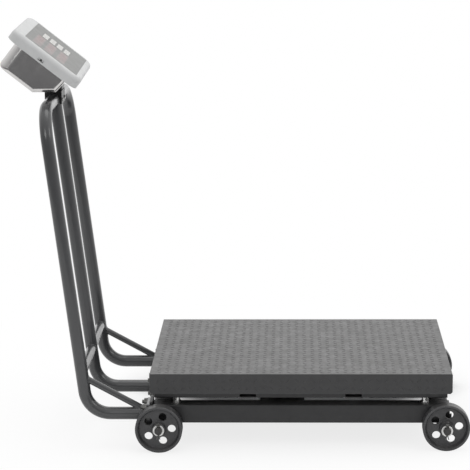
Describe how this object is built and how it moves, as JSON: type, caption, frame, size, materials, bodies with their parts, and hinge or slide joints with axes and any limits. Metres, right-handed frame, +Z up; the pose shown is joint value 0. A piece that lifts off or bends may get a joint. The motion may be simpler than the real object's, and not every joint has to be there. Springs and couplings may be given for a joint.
{
  "type": "platform shipping scale",
  "caption": "Wheeled platform scale: checker plate deck on a load cell and welded base, tubular hand rail, and a tilted indicator head with display and keys on a swivel.",
  "frame": {"origin": "on the floor, under the middle of the whole footprint", "axes": "+X from the hand rail towards the free end of the deck, +Y from the front side to the back side, +Z up"},
  "size_m": [1.244, 0.704, 1.103],
  "materials": {
    "frame_paint": "semi-gloss black powder coat",
    "rail_paint": "glossy charcoal enamel",
    "deck_paint": "satin charcoal paint on checker plate",
    "wheel_paint": "semi-gloss charcoal paint on cast iron",
    "axle_steel": "plain turned steel",
    "zinc_plate": "zinc plated",
    "cell_aluminium": "machined",
    "rubber_black": "matt",
    "cable_black": "satin jacket",
    "black_steel": "black paint",
    "stainless": "polished stainless sheet",
    "bezel_grey": "light grey moulded plastic",
    "seal_metal": "blackened",
    "overlay_film": "textured grey film",
    "window_red": "smoked red window",
    "key_white": "white keys",
    "board_green": "solder mask",
    "part_black": "moulded black plastic"
  },
  "bodies": {
    "chassis": {"axle_left": "axle_steel", "axle_plates": "frame_paint", "axle_right": "axle_steel", "axle_washers": "zinc_plate", "base_end_caps": "part_black", "base_frame": "frame_paint", "cell_bolts": "zinc_plate", "cell_channel": "frame_paint", "cell_plate": "frame_paint", "cell_spacers": "zinc_plate", "centre_post": "rail_paint", "cotter_pins": "zinc_plate", "deck_pads": "rubber_black", "friction_washer": "rubber_black", "load_cell": "cell_aluminium", "load_cell_cable": "cable_black", "overload_stops": "zinc_plate", "pivot_nipple": "zinc_plate", "pivot_nut": "zinc_plate", "post_saddle": "black_steel", "rail_braces": "rail_paint", "rail_crossbars": "rail_paint", "rail_flanges": "rail_paint", "rail_loop": "rail_paint", "rail_nuts": "zinc_plate", "rail_pads": "frame_paint", "rail_studs": "zinc_plate", "saddle_screws": "zinc_plate", "upper_frame": "frame_paint"},
    "deck": {"deck_pan": "deck_paint"},
    "head": {"battery": "part_black", "battery_bracket": "zinc_plate", "bezel": "bezel_grey", "bezel_gasket": "rubber_black", "bezel_screws": "zinc_plate", "charger_socket": "part_black", "display_board": "board_green", "display_windows": "window_red", "face_overlay": "overlay_film", "head_foot": "black_steel", "head_lead": "cable_black", "head_shell": "stainless", "key_switches": "part_black", "led_modules": "part_black", "seal_screw": "seal_metal", "switch_body": "part_black"},
    "rocker": {"power_rocker": "part_black"},
    "wheel_front_left": {"wheel_front_left": "wheel_paint"},
    "wheel_front_right": {"wheel_front_right": "wheel_paint"},
    "wheel_back_left": {"wheel_back_left": "wheel_paint"},
    "wheel_back_right": {"wheel_back_right": "wheel_paint"},
    "key_1": {"key_1": "key_white"},
    "key_2": {"key_2": "key_white"},
    "key_3": {"key_3": "key_white"},
    "key_4": {"key_4": "key_white"},
    "key_5": {"key_5": "key_white"},
    "key_6": {"key_6": "key_white"},
    "key_7": {"key_7": "key_white"},
    "key_8": {"key_8": "key_white"}
  },
  "joints": [
    {"name": "wheel_front_left_spin", "type": "hinge", "parent": "chassis", "child": "wheel_front_left", "pos_m": [-0.19953, -0.321, 0.0625], "axis": [0, 1, 0], "continuous": true},
    {"name": "wheel_front_right_spin", "type": "hinge", "parent": "chassis", "child": "wheel_front_right", "pos_m": [0.55947, -0.303, 0.0625], "axis": [0, 1, 0], "continuous": true},
    {"name": "wheel_back_left_spin", "type": "hinge", "parent": "chassis", "child": "wheel_back_left", "pos_m": [-0.19953, 0.321, 0.0625], "axis": [0, 1, 0], "continuous": true},
    {"name": "wheel_back_right_spin", "type": "hinge", "parent": "chassis", "child": "wheel_back_right", "pos_m": [0.55947, 0.321, 0.0625], "axis": [0, 1, 0], "continuous": true},
    {"name": "deck_lift_off", "type": "slide", "parent": "chassis", "child": "deck", "axis": [0, 0, 1], "range_m": [0, 0.12]},
    {"name": "head_swivel", "type": "hinge", "parent": "chassis", "child": "head", "pos_m": [-0.49144, 0, 0.93], "axis": [0, 0, 1], "range_deg": [-90, 90]},
    {"name": "power_switch", "type": "hinge", "parent": "head", "child": "rocker", "pos_m": [-0.59628, 0.10945, 1.04597], "axis": [-0.621, -0.0141, -0.7837], "range_deg": [0, 16]},
    {"name": "key_1_press", "type": "slide", "parent": "head", "child": "key_1", "axis": [-0.621, -0.0141, -0.7837], "range_m": [0, 0.0012], "stiffness_N_per_m": 700, "springref_m": -0.0006},
    {"name": "key_2_press", "type": "slide", "parent": "head", "child": "key_2", "axis": [-0.621, -0.0141, -0.7837], "range_m": [0, 0.0012], "stiffness_N_per_m": 700, "springref_m": -0.0006},
    {"name": "key_3_press", "type": "slide", "parent": "head", "child": "key_3", "axis": [-0.621, -0.0141, -0.7837], "range_m": [0, 0.0012], "stiffness_N_per_m": 700, "springref_m": -0.0006},
    {"name": "key_4_press", "type": "slide", "parent": "head", "child": "key_4", "axis": [-0.621, -0.0141, -0.7837], "range_m": [0, 0.0012], "stiffness_N_per_m": 700, "springref_m": -0.0006},
    {"name": "key_5_press", "type": "slide", "parent": "head", "child": "key_5", "axis": [-0.621, -0.0141, -0.7837], "range_m": [0, 0.0012], "stiffness_N_per_m": 700, "springref_m": -0.0006},
    {"name": "key_6_press", "type": "slide", "parent": "head", "child": "key_6", "axis": [-0.621, -0.0141, -0.7837], "range_m": [0, 0.0012], "stiffness_N_per_m": 700, "springref_m": -0.0006},
    {"name": "key_7_press", "type": "slide", "parent": "head", "child": "key_7", "axis": [-0.621, -0.0141, -0.7837], "range_m": [0, 0.0012], "stiffness_N_per_m": 700, "springref_m": -0.0006},
    {"name": "key_8_press", "type": "slide", "parent": "head", "child": "key_8", "axis": [-0.621, -0.0141, -0.7837], "range_m": [0, 0.0012], "stiffness_N_per_m": 700, "springref_m": -0.0006}
  ]
}
